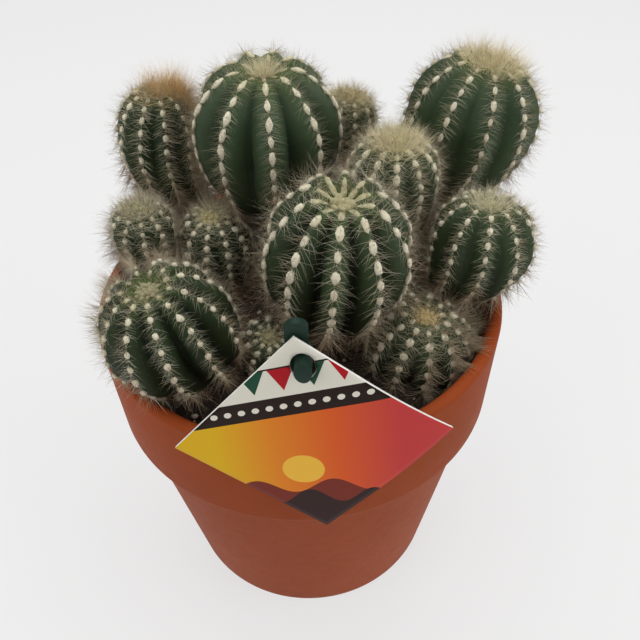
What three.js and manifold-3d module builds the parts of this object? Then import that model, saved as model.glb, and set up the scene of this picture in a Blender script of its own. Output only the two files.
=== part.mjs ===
// A clump of ribbed round cactus heads in a terracotta pot, with a plant label on a stake.
// Millimetres, +Z up. The origin is the middle of the pot's flat underside, and -Y is the front,
// where the label hangs over the rim.
import * as THREE from 'three';
import { mergeVertices } from 'three/addons/utils/BufferGeometryUtils.js';
import Module from 'manifold-3d';

const wasm = await Module();
wasm.setup();

// The pot
const potHeight = 120;
const potRimRadius = 65;
const potCollarFootRadius = 64;
const potCollarHeight = 38;
const potBodyTopRadius = 60.5;
const potBaseRadius = 48;
const potMouthRadius = 61;
const potFloorInnerRadius = 43.5;
const potFloorThickness = 6;
const potEdge = 1.2;
const potSides = 48;
const drainHoleRadius = 5;
const drainHoleCircle = 26;
const drainHoleCount = 3;
const drainHoleSides = 12;

// The soil
const soilLevel = 107.5;
const soilCrown = 1.5;
const soilLump = 1;
const soilRings = 6;
const seatGap = 0.3;

// The heads
const footLevel = 97;
const footHoleGap = 0.6;
const footHoleSides = 10;
const footHoleSteps = 6;
const footHoleTop = 115.5;
const ribDepth = 0.17;
const areoleRise = 0.8;
const rowPitch = 4.7;
const crownPinch = 0.09;
const spineRadius = 0.3;
const spineRoot = 1.1;
const spineClear = 0.7;
const spineTries = 8;
const probeRings = 28;
const spineProbes = 6;
const tuftSpines = 8;
const tuftTurn = 2.4;

// The label, a square card that stands on its corner
const cardSide = 50.8;
const cardThickness = 0.7;
const cardCentre = new THREE.Vector3(1, -67, 126.1);
const cardYaw = -5.5;
const cardTilt = 3.5;
const cardRoll = 5.3;
const cardBendStart = 14;
const cardBend = 0.006;
const cardBendSteps = 6;
const cardHoleAcross = 1.1;
const cardHoleUp = 26.8;
const cardHoleRadius = 3.1;
const cardHoleStretch = 1.35;

// The stake behind the card
const stakeWidth = 5.6;
const stakeThickness = 1.8;
const stakeTop = 165.5;
const stakeFoot = 74;
const stakePointHeight = 14;
const stakeLean = 6.5;
const stakeRimY = -57.4;
const stakeX = -1.4;
const pegWidth = 4.8;
const pegHeight = 6.9;
const pegProud = 2.6;
const pegTail = 6;
const slotGap = 0.4;
const labelBackY = -59;
const stakeBackY = -52;

// Each head: where its stem leaves the soil, the middle of its widest ring, the middle of its crown,
// its widest radius, how far below the widest ring the belly ends, the radius of its stem, its ribs,
// the bearing of one rib in degrees, and the length of its spines.
const headPlan = {
  head_back_left: {
    foot: [-32, 35], middle: [-45.5, 46.8, 150.6], crown: [-43.4, 47.7, 168.1],
    radius: 13.6, belly: 23, stem: 5.5, ribs: 10, bearing: -72, spine: 9,
  },
  head_back_big: {
    foot: [-7, 30], middle: [-7.9, 34.6, 159.2], crown: [-7.7, 32.6, 179.9],
    radius: 23.6, belly: 27, stem: 8, ribs: 9, bearing: -86, spine: 8,
  },
  head_back_small: {
    foot: [16, 46], middle: [19.6, 54.5, 148.6], crown: [20.9, 55.4, 159.4],
    radius: 9.9, belly: 32, stem: 5, ribs: 10, bearing: -80, spine: 8,
  },
  head_back_right: {
    foot: [37, 25], middle: [60, 40.5, 155.4], crown: [64, 40.3, 176.3],
    radius: 21.8, belly: 27, stem: 6, ribs: 10, bearing: -93, spine: 9,
  },
  head_mid_right: {
    foot: [27, 13], middle: [30.8, 13.8, 151.6], crown: [31.1, 13.4, 165.3],
    radius: 14.1, belly: 23, stem: 6, ribs: 11, bearing: -95, spine: 8,
  },
  head_centre_big: {
    foot: [7, -4], middle: [11.2, -18.4, 148], crown: [12.4, -21.2, 167.9],
    radius: 21, belly: 31, stem: 8, ribs: 10, bearing: -98, spine: 9,
  },
  head_right: {
    foot: [44, -3], middle: [56, -6.1, 139.5], crown: [57.2, -4.6, 154.4],
    radius: 15.6, belly: 18, stem: 6.5, ribs: 10, bearing: -102, spine: 9,
  },
  head_front_right: {
    foot: [34, -22], middle: [35.8, -22.6, 113.4], crown: [37, -24.5, 128.7],
    radius: 15.7, belly: 16, stem: 7.8, ribs: 11, bearing: -91, spine: 8,
  },
  head_left_small: {
    foot: [-43, 13], middle: [-49.4, 13.8, 136.6], crown: [-49.1, 12.9, 146],
    radius: 10.1, belly: 13, stem: 5, ribs: 10, bearing: -80, spine: 7,
  },
  head_left_mid: {
    foot: [-27, 18], middle: [-27.9, 18.8, 125.6], crown: [-27.4, 18.7, 137.7],
    radius: 12.6, belly: 17, stem: 6, ribs: 11, bearing: -98, spine: 8,
  },
  head_front_left_big: {
    foot: [-26, -22], middle: [-37.2, -31.8, 133.9], crown: [-40.6, -33.4, 152.5],
    radius: 19, belly: 18, stem: 6.5, ribs: 11, bearing: -80, spine: 8,
  },
  head_front_small: {
    foot: [-9, -21], middle: [-10.4, -22.2, 115.1], crown: [-9.9, -25, 123.8],
    radius: 9.6, belly: 13, stem: 5, ribs: 10, bearing: -90, spine: 7,
  },
};

const potFinish = new THREE.MeshStandardMaterial({ color: 0xa8583a, roughness: 0.8, metalness: 0 });
const soilFinish = new THREE.MeshStandardMaterial({ color: 0x2b2019, roughness: 1, metalness: 0 });
const headFinish = new THREE.MeshStandardMaterial({ color: 0x2f4a30, roughness: 0.65, metalness: 0 });
const cardFinish = new THREE.MeshStandardMaterial({ color: 0xe88a35, roughness: 0.4, metalness: 0 });
const stakeFinish = new THREE.MeshStandardMaterial({ color: 0x1f4a3a, roughness: 0.5, metalness: 0 });

// Seeded random numbers between 0 and 1, the same on each run
function makeRandom(seed) {
  let state = seed;
  return () => {
    state = (state * 1664525 + 1013904223) % 4294967296;
    return state / 4294967296;
  };
}

function weld(geometry) {
  const bare = geometry.clone();
  bare.deleteAttribute('normal');
  bare.deleteAttribute('uv');
  return mergeVertices(bare, 1e-4);
}

function toSolid(geometry) {
  const bare = weld(geometry);
  return new wasm.Manifold(new wasm.Mesh({
    numProp: 3,
    vertProperties: new Float32Array(bare.attributes.position.array),
    triVerts: new Uint32Array(bare.index.array),
  }));
}

function toGeometry(solid) {
  const mesh = solid.getMesh();
  const geometry = new THREE.BufferGeometry();
  geometry.setAttribute('position', new THREE.Float32BufferAttribute(mesh.vertProperties, 3));
  geometry.setIndex(Array.from(mesh.triVerts));
  return geometry;
}

function makeMesh(name, geometry, finish) {
  const mesh = new THREE.Mesh(geometry, finish.clone());
  mesh.name = name;
  return mesh;
}

// A closed profile of radius and height, turned about +Z
function turned(points, sides) {
  const profile = points.map(([radius, height]) => new THREE.Vector2(radius, height));
  const geometry = new THREE.LatheGeometry(profile, sides);
  return geometry.rotateX(Math.PI / 2);
}

function potInnerRadius(height) {
  const rise = (height - potFloorThickness) / (potHeight - potFloorThickness);
  return THREE.MathUtils.lerp(potFloorInnerRadius, potMouthRadius, rise);
}

function makePot() {
  const collarFoot = potHeight - potCollarHeight;
  const profile = [
    [0, 0],
    [potBaseRadius - potEdge, 0],
    [potBaseRadius, potEdge],
    [potBodyTopRadius, collarFoot],
    [potCollarFootRadius - potEdge, collarFoot],
    [potCollarFootRadius, collarFoot + potEdge],
    [potRimRadius, potHeight - potEdge],
    [potRimRadius - potEdge, potHeight],
    [potMouthRadius + potEdge, potHeight],
    [potInnerRadius(potHeight - potEdge), potHeight - potEdge],
    [potFloorInnerRadius, potFloorThickness],
    [0, potFloorThickness],
  ];
  let pot = toSolid(turned(profile, potSides));
  for (let hole = 0; hole < drainHoleCount; hole += 1) {
    const turn = (hole + 0.5) * 2 * Math.PI / drainHoleCount;
    const depth = 3 * potFloorThickness;
    const bore = new THREE.CylinderGeometry(drainHoleRadius, drainHoleRadius, depth, drainHoleSides);
    bore.rotateX(Math.PI / 2);
    bore.translate(drainHoleCircle * Math.cos(turn), drainHoleCircle * Math.sin(turn), 0);
    pot = pot.subtract(toSolid(bore));
  }
  return toGeometry(pot);
}

// A head's spine: its straight upper axis, then a bend down to an upright stem in the soil
function planHead(name, plan) {
  const middle = new THREE.Vector3(...plan.middle);
  const crown = new THREE.Vector3(...plan.crown);
  const foot = new THREE.Vector3(...plan.foot, footLevel);
  const up = crown.clone().sub(middle);
  const crownHeight = up.length();
  up.normalize();
  const drop = middle.z - footLevel;
  const bend = new THREE.CubicBezierCurve3(
    middle,
    middle.clone().addScaledVector(up, -0.3 * drop),
    foot.clone().setZ(footLevel + 0.35 * drop),
    foot,
  );
  const upperSpan = 0.5 * Math.PI * Math.sqrt((crownHeight ** 2 + plan.radius ** 2) / 2);
  const lowerSpan = bend.getLength();
  return { name, ...plan, middle, crown, foot, up, crownHeight, bend, upperSpan, lowerSpan };
}

// The ring at a share of the way from the crown (0) to the foot (1): its middle, its axis, its radius
function headRing(head, share) {
  const reach = share * (head.upperSpan + head.lowerSpan);
  if (reach <= head.upperSpan) {
    const turn = 0.5 * Math.PI * reach / head.upperSpan;
    const height = head.crownHeight * Math.cos(turn) ** 0.9;
    const radius = head.radius * Math.sin(turn) ** 0.9;
    return { middle: head.middle.clone().addScaledVector(head.up, height), axis: head.up, radius };
  }
  const depth = reach - head.upperSpan;
  const along = Math.min(depth / head.lowerSpan, 1);
  const belly = Math.min(depth / head.belly, 1);
  const swell = (1 - belly ** 2.2) ** (1 / 2);
  const radius = head.stem + (head.radius - head.stem) * swell;
  const axis = head.bend.getTangentAt(along).negate().lerp(head.up, 1 - along ** 2).normalize();
  return { middle: head.bend.getPointAt(along), axis, radius };
}

// Two directions across an axis, the first one as near +X as it can be
function acrossAxis(axis) {
  const first = new THREE.Vector3(1, 0, 0);
  first.addScaledVector(axis, -first.dot(axis)).normalize();
  return [first, new THREE.Vector3().crossVectors(axis, first)];
}

function ringCount(head) {
  return 2 * Math.round((head.upperSpan + head.lowerSpan) / (2 * rowPitch));
}

// How deep the furrows are at a share of the way down: none at the stem
function furrow(head, share) {
  const belowMiddle = (share * (head.upperSpan + head.lowerSpan) - head.upperSpan) / head.belly;
  return ribDepth * THREE.MathUtils.clamp(1.15 - belowMiddle, 0, 1);
}

// Areoles sit on the rib crests, on every other ring, in steps from rib to rib
function isAreole(head, ring, rib) {
  const belowMiddle = ring / ringCount(head) * (head.upperSpan + head.lowerSpan) - head.upperSpan;
  return ring > 1 && (ring + rib) % 2 === 0 && belowMiddle < 0.75 * head.belly;
}

// The ribbed body: a sphere whose columns are crests and furrows by turns
function makeHeadBody(head) {
  const rings = ringCount(head);
  const columns = 2 * head.ribs;
  const geometry = weld(new THREE.SphereGeometry(1, columns, rings));
  const position = geometry.attributes.position;
  const start = THREE.MathUtils.degToRad(head.bearing);
  for (let i = 0; i < position.count; i += 1) {
    const ring = Math.round(Math.acos(THREE.MathUtils.clamp(position.getY(i), -1, 1)) / Math.PI * rings);
    const share = ring / rings;
    const { middle, axis, radius } = headRing(head, share);
    const point = middle.clone();
    if (ring === 0) {
      point.addScaledVector(axis, -crownPinch * head.crownHeight);
    } else if (ring < rings) {
      const turn = Math.atan2(position.getZ(i), position.getX(i));
      const column = (Math.round(turn / (2 * Math.PI) * columns) + columns) % columns;
      const bearing = start - column * 2 * Math.PI / columns;
      const [first, second] = acrossAxis(axis);
      const crest = column % 2 === 0;
      let reach = crest ? radius : radius * (1 - furrow(head, share));
      if (crest && isAreole(head, ring, column / 2)) {
        reach += areoleRise * Math.min(1, radius / 6);
      }
      point.addScaledVector(first, reach * Math.cos(bearing));
      point.addScaledVector(second, reach * Math.sin(bearing));
    }
    position.setXYZ(i, point.x, point.y, point.z);
  }
  return geometry;
}

// Rings that stand for a head where others have to keep clear of it
function headProbe(head) {
  const rings = [];
  for (let i = 0; i <= probeRings; i += 1) {
    rings.push(headRing(head, i / probeRings));
  }
  return { rings, half: 0.6 * (head.upperSpan + head.lowerSpan) / probeRings };
}

// How far outside a head a point is, or less than nothing inside it
function distanceFromHead(probe, point) {
  let nearest = Infinity;
  for (const { middle, axis, radius } of probe.rings) {
    const offset = point.clone().sub(middle);
    const along = offset.dot(axis);
    const side = offset.addScaledVector(axis, -along).length() - radius - areoleRise;
    const above = Math.abs(along) - probe.half;
    nearest = Math.min(nearest, Math.max(side, above));
  }
  return nearest;
}

function clearOfPotSoilLabel(point) {
  const reach = Math.hypot(point.x, point.y);
  if (point.z < soilLevel + soilCrown + soilLump + spineClear) {
    return false;
  }
  if (point.z < potHeight + spineClear && reach > potInnerRadius(point.z) - spineClear) {
    return reach > potRimRadius + spineClear && point.z > potHeight - potCollarHeight;
  }
  const low = point.z < stakeTop + spineClear;
  const nearLabel = low && Math.abs(point.x) < cardSide && point.y < labelBackY;
  const nearStake = low && Math.abs(point.x - stakeX) < stakeWidth && point.y < stakeBackY;
  return !nearLabel && !nearStake;
}

// The least distance between two spines, taken at a few points of the first
function spineGap(a, b) {
  let nearest = Infinity;
  const onLine = new THREE.Vector3();
  const line = new THREE.Line3(b.root, b.tip);
  for (let i = 0; i <= spineProbes; i += 1) {
    const point = a.root.clone().lerp(a.tip, i / spineProbes);
    line.closestPointToPoint(point, true, onLine);
    nearest = Math.min(nearest, onLine.distanceTo(point));
  }
  return nearest;
}

function spineIsClear(spine, headIndex, probes, placed) {
  for (let i = 1; i <= spineProbes; i += 1) {
    const point = spine.root.clone().lerp(spine.tip, i / spineProbes);
    if (!clearOfPotSoilLabel(point)) {
      return false;
    }
    for (let other = 0; other < probes.length; other += 1) {
      if (other !== headIndex && distanceFromHead(probes[other], point) < spineClear) {
        return false;
      }
    }
  }
  return placed.every((old) => old.headIndex === headIndex || spineGap(spine, old) > 2 * spineClear);
}

// One spine for each areole, at a seeded angle, and a tuft round the crown. A spine that meets
// something is turned until it is clear, or left out.
function placeSpines(heads) {
  const probes = heads.map(headProbe);
  const placed = [];
  heads.forEach((head, headIndex) => {
    const random = makeRandom(headIndex * 7919 + 17);
    const rings = ringCount(head);
    const tryToPlace = (seat, outward, spread) => {
      for (let turn = 0; turn < spineTries; turn += 1) {
        const sway = new THREE.Vector3(random() - 0.5, random() - 0.5, random() - 0.5);
        const direction = outward.clone().addScaledVector(sway, spread).normalize();
        const length = head.spine * (0.8 + 0.25 * random());
        const root = seat.clone();
        const spine = { headIndex, root, tip: root.clone().addScaledVector(direction, length) };
        if (spineIsClear(spine, headIndex, probes, placed)) {
          placed.push(spine);
          return;
        }
      }
    };
    for (let i = 0; i < tuftSpines; i += 1) {
      const turn = i * tuftTurn;
      const [first, second] = acrossAxis(head.up);
      const lean = 0.25 + 0.5 * i / tuftSpines;
      const across = first.multiplyScalar(Math.cos(turn)).addScaledVector(second, Math.sin(turn));
      const seat = head.crown.clone().addScaledVector(head.up, -crownPinch * head.crownHeight);
      seat.addScaledVector(across, 0.9 + 2.2 * i / tuftSpines);
      tryToPlace(seat, head.up.clone().addScaledVector(across, lean), 0.3);
    }
    for (let ring = 2; ring < rings; ring += 1) {
      const { middle, axis, radius } = headRing(head, ring / rings);
      const [first, second] = acrossAxis(axis);
      for (let rib = 0; rib < head.ribs; rib += 1) {
        if (isAreole(head, ring, rib)) {
          const bearing = THREE.MathUtils.degToRad(head.bearing) - rib * 2 * Math.PI / head.ribs;
          const across = first.clone().multiplyScalar(Math.cos(bearing));
          across.addScaledVector(second, Math.sin(bearing));
          const seat = middle.clone().addScaledVector(across, radius);
          const slope = Math.max(0, 1 - ring / rings * 1.6);
          tryToPlace(seat, across.addScaledVector(axis, 0.9 * slope), 1.3);
        }
      }
    }
  });
  return placed;
}

function makeSpine(spine) {
  const direction = spine.tip.clone().sub(spine.root);
  const length = direction.length() + spineRoot;
  const turn = new THREE.Quaternion().setFromUnitVectors(new THREE.Vector3(0, 1, 0), direction.normalize());
  const needle = new THREE.ConeGeometry(spineRadius, length, 3);
  needle.translate(0, length / 2 - spineRoot, 0);
  needle.applyQuaternion(turn);
  return needle.translate(spine.root.x, spine.root.y, spine.root.z);
}

function largestPiece(solid) {
  return solid.decompose().reduce((best, piece) => (piece.volume() > best.volume() ? piece : best));
}

function makeHead(head, spines) {
  const needles = spines.map((spine) => toSolid(makeSpine(spine)));
  const whole = wasm.Manifold.union([toSolid(makeHeadBody(head)), ...needles]);
  return toGeometry(largestPiece(whole));
}

// The plain hole that a head stands in: its own outline below the surface, made a little larger
function makeFootHole(head) {
  const steps = footHoleSteps;
  const geometry = weld(new THREE.SphereGeometry(1, footHoleSides, steps));
  const position = geometry.attributes.position;
  let from = 0;
  while (headRing(head, from).middle.z > footHoleTop) {
    from += 0.01;
  }
  for (let i = 0; i < position.count; i += 1) {
    const ring = Math.round(Math.acos(THREE.MathUtils.clamp(position.getY(i), -1, 1)) / Math.PI * steps);
    const { middle, axis, radius } = headRing(head, from + (1 - from) * ring / steps);
    const point = middle.clone();
    if (ring === steps) {
      point.addScaledVector(axis, -seatGap);
    } else if (ring > 0) {
      const turn = Math.atan2(position.getZ(i), position.getX(i));
      const [first, second] = acrossAxis(axis);
      const reach = (radius + areoleRise + footHoleGap) / Math.cos(Math.PI / footHoleSides);
      point.addScaledVector(first, reach * Math.cos(turn));
      point.addScaledVector(second, -reach * Math.sin(turn));
      if (ring === steps - 1) {
        point.z = footLevel - seatGap;
      }
    }
    position.setXYZ(i, point.x, point.y, point.z);
  }
  return geometry;
}

function soilHeight(x, y) {
  const reach = Math.hypot(x, y) / potMouthRadius;
  const lumps = Math.sin(0.31 * x + 1.3) * Math.cos(0.27 * y - 0.4) + 0.6 * Math.sin(0.9 * x - 0.7 * y);
  return soilLevel + soilCrown * (1 - reach ** 2) + 0.5 * soilLump * lumps;
}

function makeSoil(heads, stake) {
  const wallTop = potInnerRadius(soilLevel) - seatGap;
  const profile = [
    [0, potFloorThickness + seatGap],
    [potInnerRadius(potFloorThickness + seatGap) - seatGap, potFloorThickness + seatGap],
  ];
  for (let ring = soilRings; ring > 0; ring -= 1) {
    profile.push([wallTop * ring / soilRings, soilLevel]);
  }
  profile.push([0, soilLevel]);
  const geometry = weld(turned(profile, potSides));
  const position = geometry.attributes.position;
  for (let i = 0; i < position.count; i += 1) {
    if (position.getZ(i) > potHeight / 2) {
      position.setZ(i, soilHeight(position.getX(i), position.getY(i)));
    }
  }
  let soil = toSolid(geometry);
  for (const head of heads) {
    soil = soil.subtract(toSolid(makeFootHole(head)));
  }
  soil = soil.subtract(toSolid(stake));
  return toGeometry(largestPiece(soil));
}

// Turns a shape drawn in the card's plane, X across and Y up, to the place of the card
function placeOnCard(geometry) {
  geometry.rotateZ(THREE.MathUtils.degToRad(cardRoll));
  geometry.rotateX(THREE.MathUtils.degToRad(90 - cardTilt));
  geometry.rotateZ(THREE.MathUtils.degToRad(cardYaw));
  return geometry.translate(cardCentre.x, cardCentre.y, cardCentre.z);
}

function makeCard() {
  const half = cardSide / Math.SQRT2;
  const outline = new THREE.Shape();
  const front = [[-half - 1, 0], [cardBendStart, 0]];
  for (let step = 1; step <= cardBendSteps; step += 1) {
    const across = (half + 2 - cardBendStart) * step / cardBendSteps;
    front.push([cardBendStart + across, -cardBend * across ** 2]);
  }
  const back = front.map(([across, depth]) => [across, depth - cardThickness]).reverse();
  outline.setFromPoints([...front, ...back].map(([across, depth]) => new THREE.Vector2(across, depth)));
  const band = new THREE.ExtrudeGeometry(outline, { depth: 2 * half + 4, bevelEnabled: false });
  band.translate(0, 0, -half - 2);
  band.rotateX(Math.PI / 2);
  const diamond = new THREE.CylinderGeometry(half, half, 40, 4);
  diamond.rotateX(Math.PI / 2);
  const hole = new THREE.CylinderGeometry(cardHoleRadius, cardHoleRadius, 10, 16);
  hole.rotateX(Math.PI / 2);
  hole.scale(1, cardHoleStretch, 1);
  hole.translate(cardHoleAcross, cardHoleUp, 0);
  const card = toSolid(band).intersect(toSolid(diamond)).subtract(toSolid(hole));
  return placeOnCard(toGeometry(card));
}

// The stake's outline, pointed at its foot and round at its head, made wider by a margin
function stakeBar(margin) {
  const half = stakeWidth / 2 + margin;
  const outline = new THREE.Shape();
  outline.moveTo(0, stakeFoot - 4 * margin);
  outline.lineTo(half, stakeFoot + stakePointHeight);
  outline.lineTo(half, stakeTop - half);
  outline.absarc(0, stakeTop - half, half, 0, Math.PI, false);
  outline.lineTo(-half, stakeFoot + stakePointHeight);
  const depth = stakeThickness + 2 * margin;
  const bar = new THREE.ExtrudeGeometry(outline, { depth, bevelEnabled: false, curveSegments: 5 });
  bar.translate(0, -potHeight, -depth / 2);
  bar.rotateX(Math.PI / 2);
  bar.rotateX(THREE.MathUtils.degToRad(stakeLean));
  return bar.translate(stakeX, stakeRimY, potHeight);
}

// The peg that runs from the stake through the card's hole
function stakePeg() {
  const outline = new THREE.Shape();
  outline.absellipse(0, 0, pegWidth / 2, pegHeight / 2, 0, 2 * Math.PI, false, 0);
  const depth = pegProud + pegTail;
  const peg = new THREE.ExtrudeGeometry(outline, { depth, bevelEnabled: false, curveSegments: 7 });
  peg.translate(cardHoleAcross, cardHoleUp, pegProud - depth);
  return placeOnCard(peg);
}

function makeStake() {
  const bar = toSolid(stakeBar(0));
  return toGeometry(bar.add(toSolid(stakePeg())));
}

const heads = Object.entries(headPlan).map(([name, plan]) => planHead(name, plan));
const spines = placeSpines(heads);

const plant = new THREE.Group();
plant.add(makeMesh('pot', makePot(), potFinish));
plant.add(makeMesh('soil', makeSoil(heads, stakeBar(slotGap)), soilFinish));
heads.forEach((head, index) => {
  const own = spines.filter((spine) => spine.headIndex === index);
  plant.add(makeMesh(head.name, makeHead(head, own), headFinish));
});
plant.add(makeMesh('label_card', makeCard(), cardFinish));
plant.add(makeMesh('label_stake', makeStake(), stakeFinish));

export default plant;
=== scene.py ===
import math
import random
from functools import partial

import bmesh
import bpy
from mathutils import Matrix, Vector, geometry, noise


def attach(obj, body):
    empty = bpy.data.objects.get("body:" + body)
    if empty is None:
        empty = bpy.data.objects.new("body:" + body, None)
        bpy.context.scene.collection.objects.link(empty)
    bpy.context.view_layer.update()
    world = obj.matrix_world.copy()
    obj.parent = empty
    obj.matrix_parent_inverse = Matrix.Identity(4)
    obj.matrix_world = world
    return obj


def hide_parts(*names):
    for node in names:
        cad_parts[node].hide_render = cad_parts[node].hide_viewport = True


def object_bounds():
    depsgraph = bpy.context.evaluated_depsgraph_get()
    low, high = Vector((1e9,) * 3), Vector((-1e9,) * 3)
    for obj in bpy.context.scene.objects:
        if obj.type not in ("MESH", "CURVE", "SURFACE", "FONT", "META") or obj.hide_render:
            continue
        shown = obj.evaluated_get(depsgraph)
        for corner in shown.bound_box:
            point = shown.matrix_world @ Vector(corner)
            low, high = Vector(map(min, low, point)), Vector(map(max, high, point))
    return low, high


# A clump of ribbed round cactus heads in a terracotta pot, with a plant label on a stake.
# Sizes are in millimetres times mm, +Z up, -Y the front.
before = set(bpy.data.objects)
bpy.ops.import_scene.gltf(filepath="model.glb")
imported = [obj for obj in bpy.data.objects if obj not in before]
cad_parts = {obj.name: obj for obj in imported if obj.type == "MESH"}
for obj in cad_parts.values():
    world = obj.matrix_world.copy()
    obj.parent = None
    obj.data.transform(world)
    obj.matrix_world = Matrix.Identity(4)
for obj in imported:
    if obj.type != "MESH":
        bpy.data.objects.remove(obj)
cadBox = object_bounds()
mm = 0.001
degree = math.pi / 180
fullTurn = 2 * math.pi
weld = 0.01 * mm  # corners nearer than this become one
print("frame loaded")


# Small helpers for materials. A colour is three screen values from 0 to 255, or one grey from 0 to 1

def shade(colour):
    # the linear colour that a shader takes
    if not isinstance(colour, tuple):
        return colour, colour, colour, 1
    parts = [part / 255 for part in colour]
    return (*(part / 12.92 if part < 0.04045 else ((part + 0.055) / 1.055) ** 2.4 for part in parts), 1)


def feed(socket, value):
    # links another node's socket, and sets anything else
    if isinstance(value, bpy.types.NodeSocket):
        socket.id_data.links.new(value, socket)
    else:
        socket.default_value = shade(value) if socket.type == "RGBA" else value


def newMaterial(name):
    material = bpy.data.materials.new(name)
    material.use_nodes = True
    return material, material.node_tree


def finishMaterial(material, inputs):
    shader = material.node_tree.nodes["Principled BSDF"]
    for name, value in inputs.items():
        feed(shader.inputs[name], value)
    return material


def addNode(tree, kind, inputs=None, **settings):
    # nodes stand in rows of eight, in the order of their making
    row, column = divmod(len(tree.nodes), 8)
    node = tree.nodes.new(kind)
    node.location = (240 * column - 2200, -300 * row)
    for name, value in settings.items():
        setattr(node, name, value)
    for name, value in (inputs or {}).items():
        feed(node.inputs[name], value)
    return node


def addRamp(tree, source, *stops):
    node = addNode(tree, "ShaderNodeValToRGB", {"Fac": source})
    ramp = node.color_ramp
    while len(ramp.elements) < len(stops):
        ramp.elements.new(0.5)
    for element, (position, colour) in zip(ramp.elements, stops):
        element.position = position
        element.color = shade(colour)
    return node.outputs["Color"]


def addNoise(tree, scale, detail=4, roughness=0.55, stretch=None):
    where = addNode(tree, "ShaderNodeTexCoord").outputs["Object"]
    if stretch:
        where = addNode(tree, "ShaderNodeMapping", {"Vector": where, "Scale": stretch}).outputs["Vector"]
    inputs = {"Vector": where, "Scale": scale, "Detail": detail, "Roughness": roughness}
    return addNode(tree, "ShaderNodeTexNoise", inputs).outputs["Fac"]


def addMix(tree, factor, first, second):
    inputs = {0: factor, 6: first, 7: second}  # the colour sockets of a mix node
    return addNode(tree, "ShaderNodeMix", inputs, data_type="RGBA").outputs[2]


def addMath(tree, operation, first, second=0, clamp=False):
    inputs = {0: first, 1: second}
    return addNode(tree, "ShaderNodeMath", inputs, operation=operation, use_clamp=clamp).outputs[0]


def addBump(tree, height, strength, distance, under=None):
    inputs = {"Height": height, "Strength": strength, "Distance": distance}
    if under:
        inputs["Normal"] = under
    return addNode(tree, "ShaderNodeBump", inputs).outputs["Normal"]


def readValue(tree, name):
    return addNode(tree, "ShaderNodeAttribute", attribute_name=name).outputs["Fac"]


# Small helpers for pieces

def finishPiece(bm, name, materials, smooth=True, recalculate=True):
    if recalculate:
        bmesh.ops.recalc_face_normals(bm, faces=bm.faces)
    mesh = bpy.data.meshes.new(name)
    bm.to_mesh(mesh)
    bm.free()
    for material in materials:
        mesh.materials.append(material)
    for face in mesh.polygons:
        face.use_smooth = smooth
    piece = bpy.data.objects.new(name, mesh)
    bpy.context.collection.objects.link(piece)
    return piece


def givePiece(piece, nodes):
    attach(piece, "root")
    if nodes:
        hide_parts(*nodes)


def applyModifiers(piece):
    seen = piece.evaluated_get(bpy.context.evaluated_depsgraph_get())
    mesh = bpy.data.meshes.new_from_object(seen)
    piece.modifiers.clear()
    piece.data = mesh


def carve(piece, tools, operation="DIFFERENCE"):
    # cuts the tools out of a piece, or joins them to it, and clears them away
    for tool in tools:
        change = piece.modifiers.new("carve", "BOOLEAN")
        change.operation = operation
        change.object = tool
        change.material_mode = "TRANSFER" if tool.data.materials else "INDEX"
    piece.modifiers.new("clean", "WELD").merge_threshold = weld
    applyModifiers(piece)
    for tool in tools:
        bpy.data.objects.remove(tool)


def makeRod(name, radius, depth, sides, place, materials):
    bm = bmesh.new()
    bmesh.ops.create_cone(bm, cap_ends=True, segments=sides, radius1=radius * mm, radius2=radius * mm,
                          depth=depth * mm, matrix=place)
    return finishPiece(bm, name, materials)


def layCopies(bm, template, items):
    # a copy of a small mesh for each item, then every corner of the copies with its item
    start = len(bm.verts)
    for _ in items:
        bm.from_mesh(template)
    each = len(template.vertices)
    for index, corner in enumerate(bm.verts[start:]):
        yield corner, items[index // each]


def templateMesh(name, build):
    # a small mesh to be laid many times
    bm = bmesh.new()
    build(bm)
    mesh = bpy.data.meshes.new(name)
    bm.to_mesh(mesh)
    bm.free()
    return mesh


def spinProfile(corners, sides):
    # corners are (radius, height, rounding), from the axis round to the axis again
    bm = bmesh.new()
    points = [bm.verts.new((radius * mm, 0, height * mm)) for radius, height, _ in corners]
    for low, high in zip(points, points[1:]):
        bm.edges.new((low, high))
    for point, (_, _, rounding) in zip(points, corners):
        if rounding:
            bmesh.ops.bevel(bm, geom=[point], offset=rounding * mm, affect="VERTICES",
                            segments=pot["roundSteps"], profile=0.5, material=-1)
    bmesh.ops.spin(bm, geom=bm.verts[:] + bm.edges[:], axis=(0, 0, 1), cent=(0, 0, 0),
                   steps=sides, angle=fullTurn, use_merge=True)
    bmesh.ops.remove_doubles(bm, verts=bm.verts, dist=weld)
    return bm


# The pot
pot = dict(
    height=120, rim=65, mouth=61, collarFoot=64, collarHeight=38, collarLap=0.5,
    bodyTop=60.5, base=48, floorInner=43.5, floorThickness=6,
    baseRound=2.2, bodyRound=1.4, collarRound=2.6, rimRound=1.9, mouthRound=1.8,
    floorRound=3, roundSteps=5, sides=160,
    drainRadius=5, drainCircle=26, drainCount=3, drainSides=32,
    clay=((0.3, (140, 62, 26)), (0.52, (150, 68, 30)), (0.75, (160, 75, 36))), speck=(124, 54, 27),
)


def innerRadius(height):
    rise = (height - pot["floorThickness"]) / (pot["height"] - pot["floorThickness"])
    return pot["floorInner"] + rise * (pot["mouth"] - pot["floorInner"])


def makeClay():
    material, tree = newMaterial("terracotta")
    fine = addNoise(tree, 260, 6, 0.7)
    turning = addNoise(tree, 30, 3, 0.5, (0.15, 0.15, 14))
    clay = addRamp(tree, addNoise(tree, 14, 5), *pot["clay"])
    rings = addBump(tree, turning, 0.12, 0.4 * mm)
    return finishMaterial(material, {
        "Base Color": addMix(tree, addRamp(tree, fine, (0.62, 0), (0.72, 0.5)), clay, pot["speck"]),
        "Roughness": addRamp(tree, fine, (0.2, 0.52), (0.8, 0.7)),
        "Normal": addBump(tree, fine, 0.2, 0.15 * mm, rings),
        "Specular IOR Level": 0.08,
    })


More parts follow.
